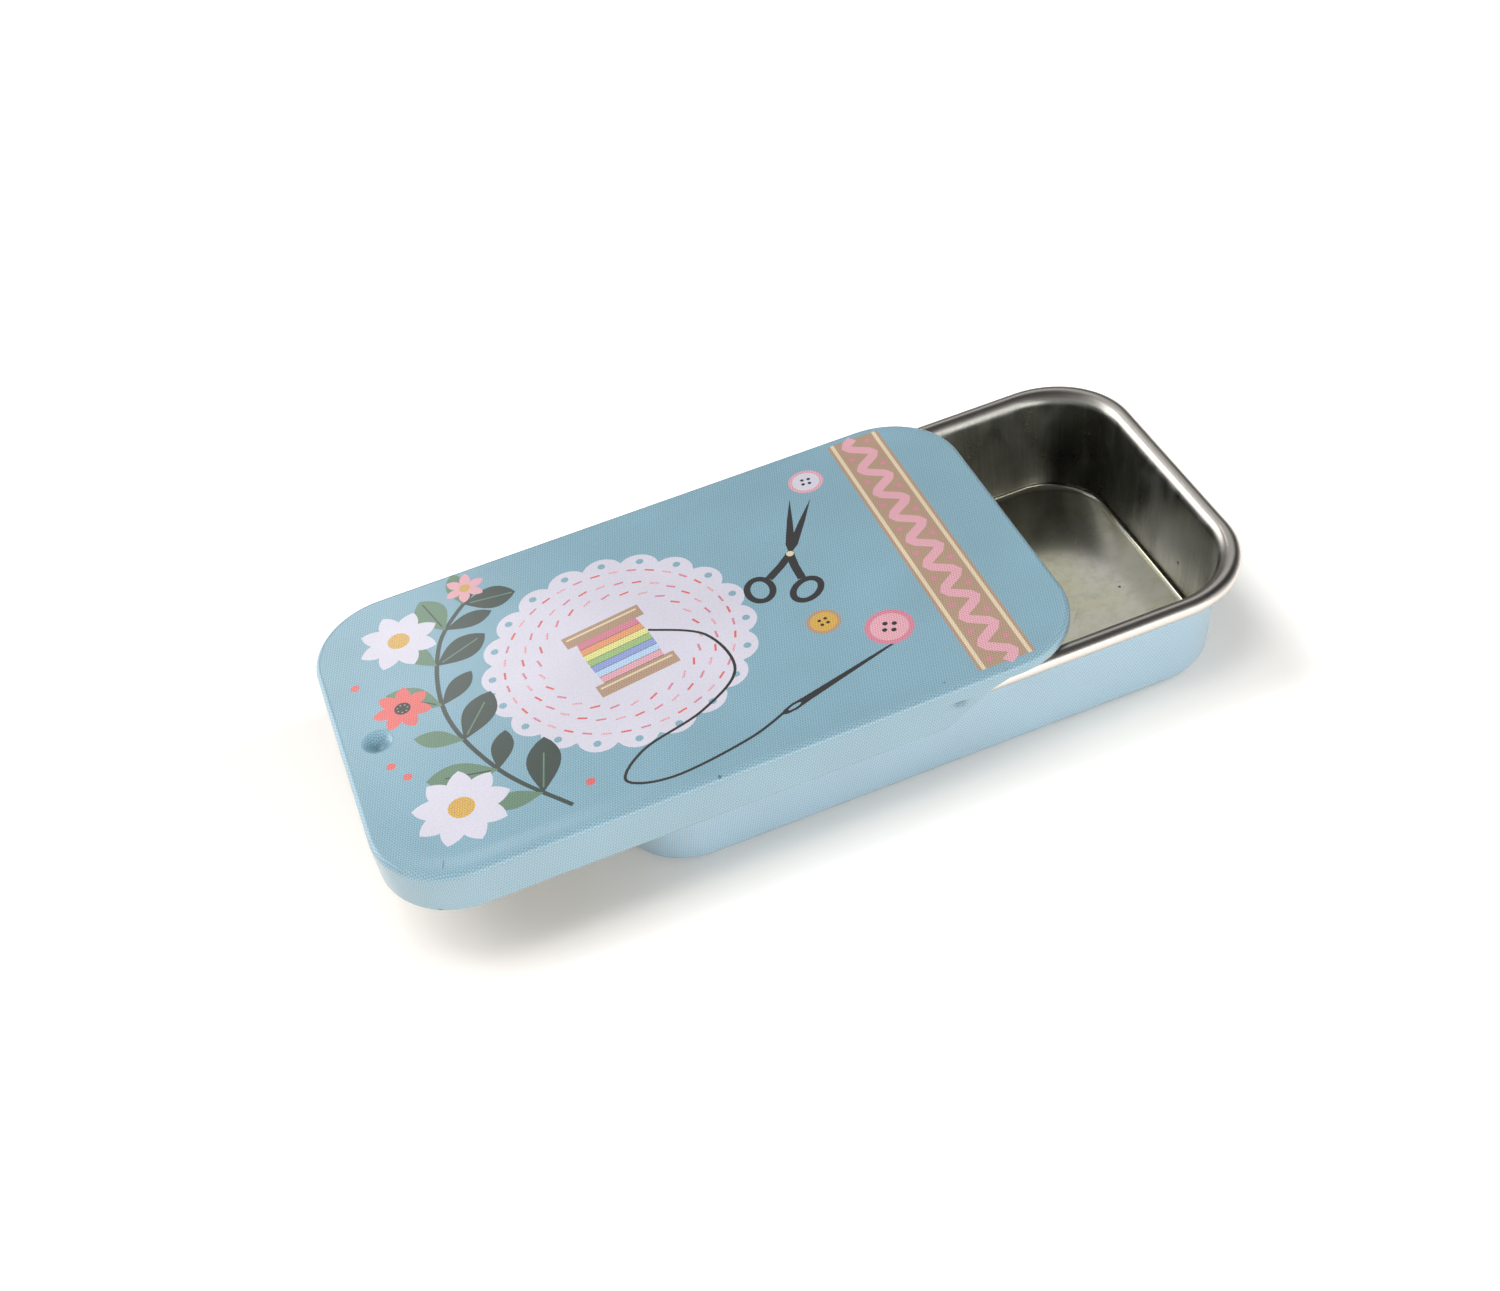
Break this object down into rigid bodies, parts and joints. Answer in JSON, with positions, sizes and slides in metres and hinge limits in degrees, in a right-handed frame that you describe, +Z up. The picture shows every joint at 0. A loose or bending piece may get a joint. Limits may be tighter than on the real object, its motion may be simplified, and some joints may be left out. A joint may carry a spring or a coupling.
{
  "type": "slide-top needle tin",
  "caption": "Small oblong tinplate box with a curled rim and a lid that slides off along it, for keeping sewing needles.",
  "frame": {"origin": "middle of the tray's flat base, which stands at Z = 0", "axes": "+X along the tin's length, towards the end that the part-open lid leaves uncovered; +Z up"},
  "size_m": [0.077, 0.0352, 0.0116],
  "materials": {
    "tray_tinplate": "pale blue print outside, bare bright tinplate inside and on the rim",
    "lid_tinplate": "glossy blue print outside, bare bright tinplate inside"
  },
  "bodies": {
    "tray": {"tray": "tray_tinplate"},
    "lid": {"slide_lid": "lid_tinplate"}
  },
  "joints": [
    {"name": "lid_slide", "type": "slide", "parent": "tray", "child": "lid", "axis": [1, 0, 0], "range_m": [-0.0444, 0.0164]}
  ]
}
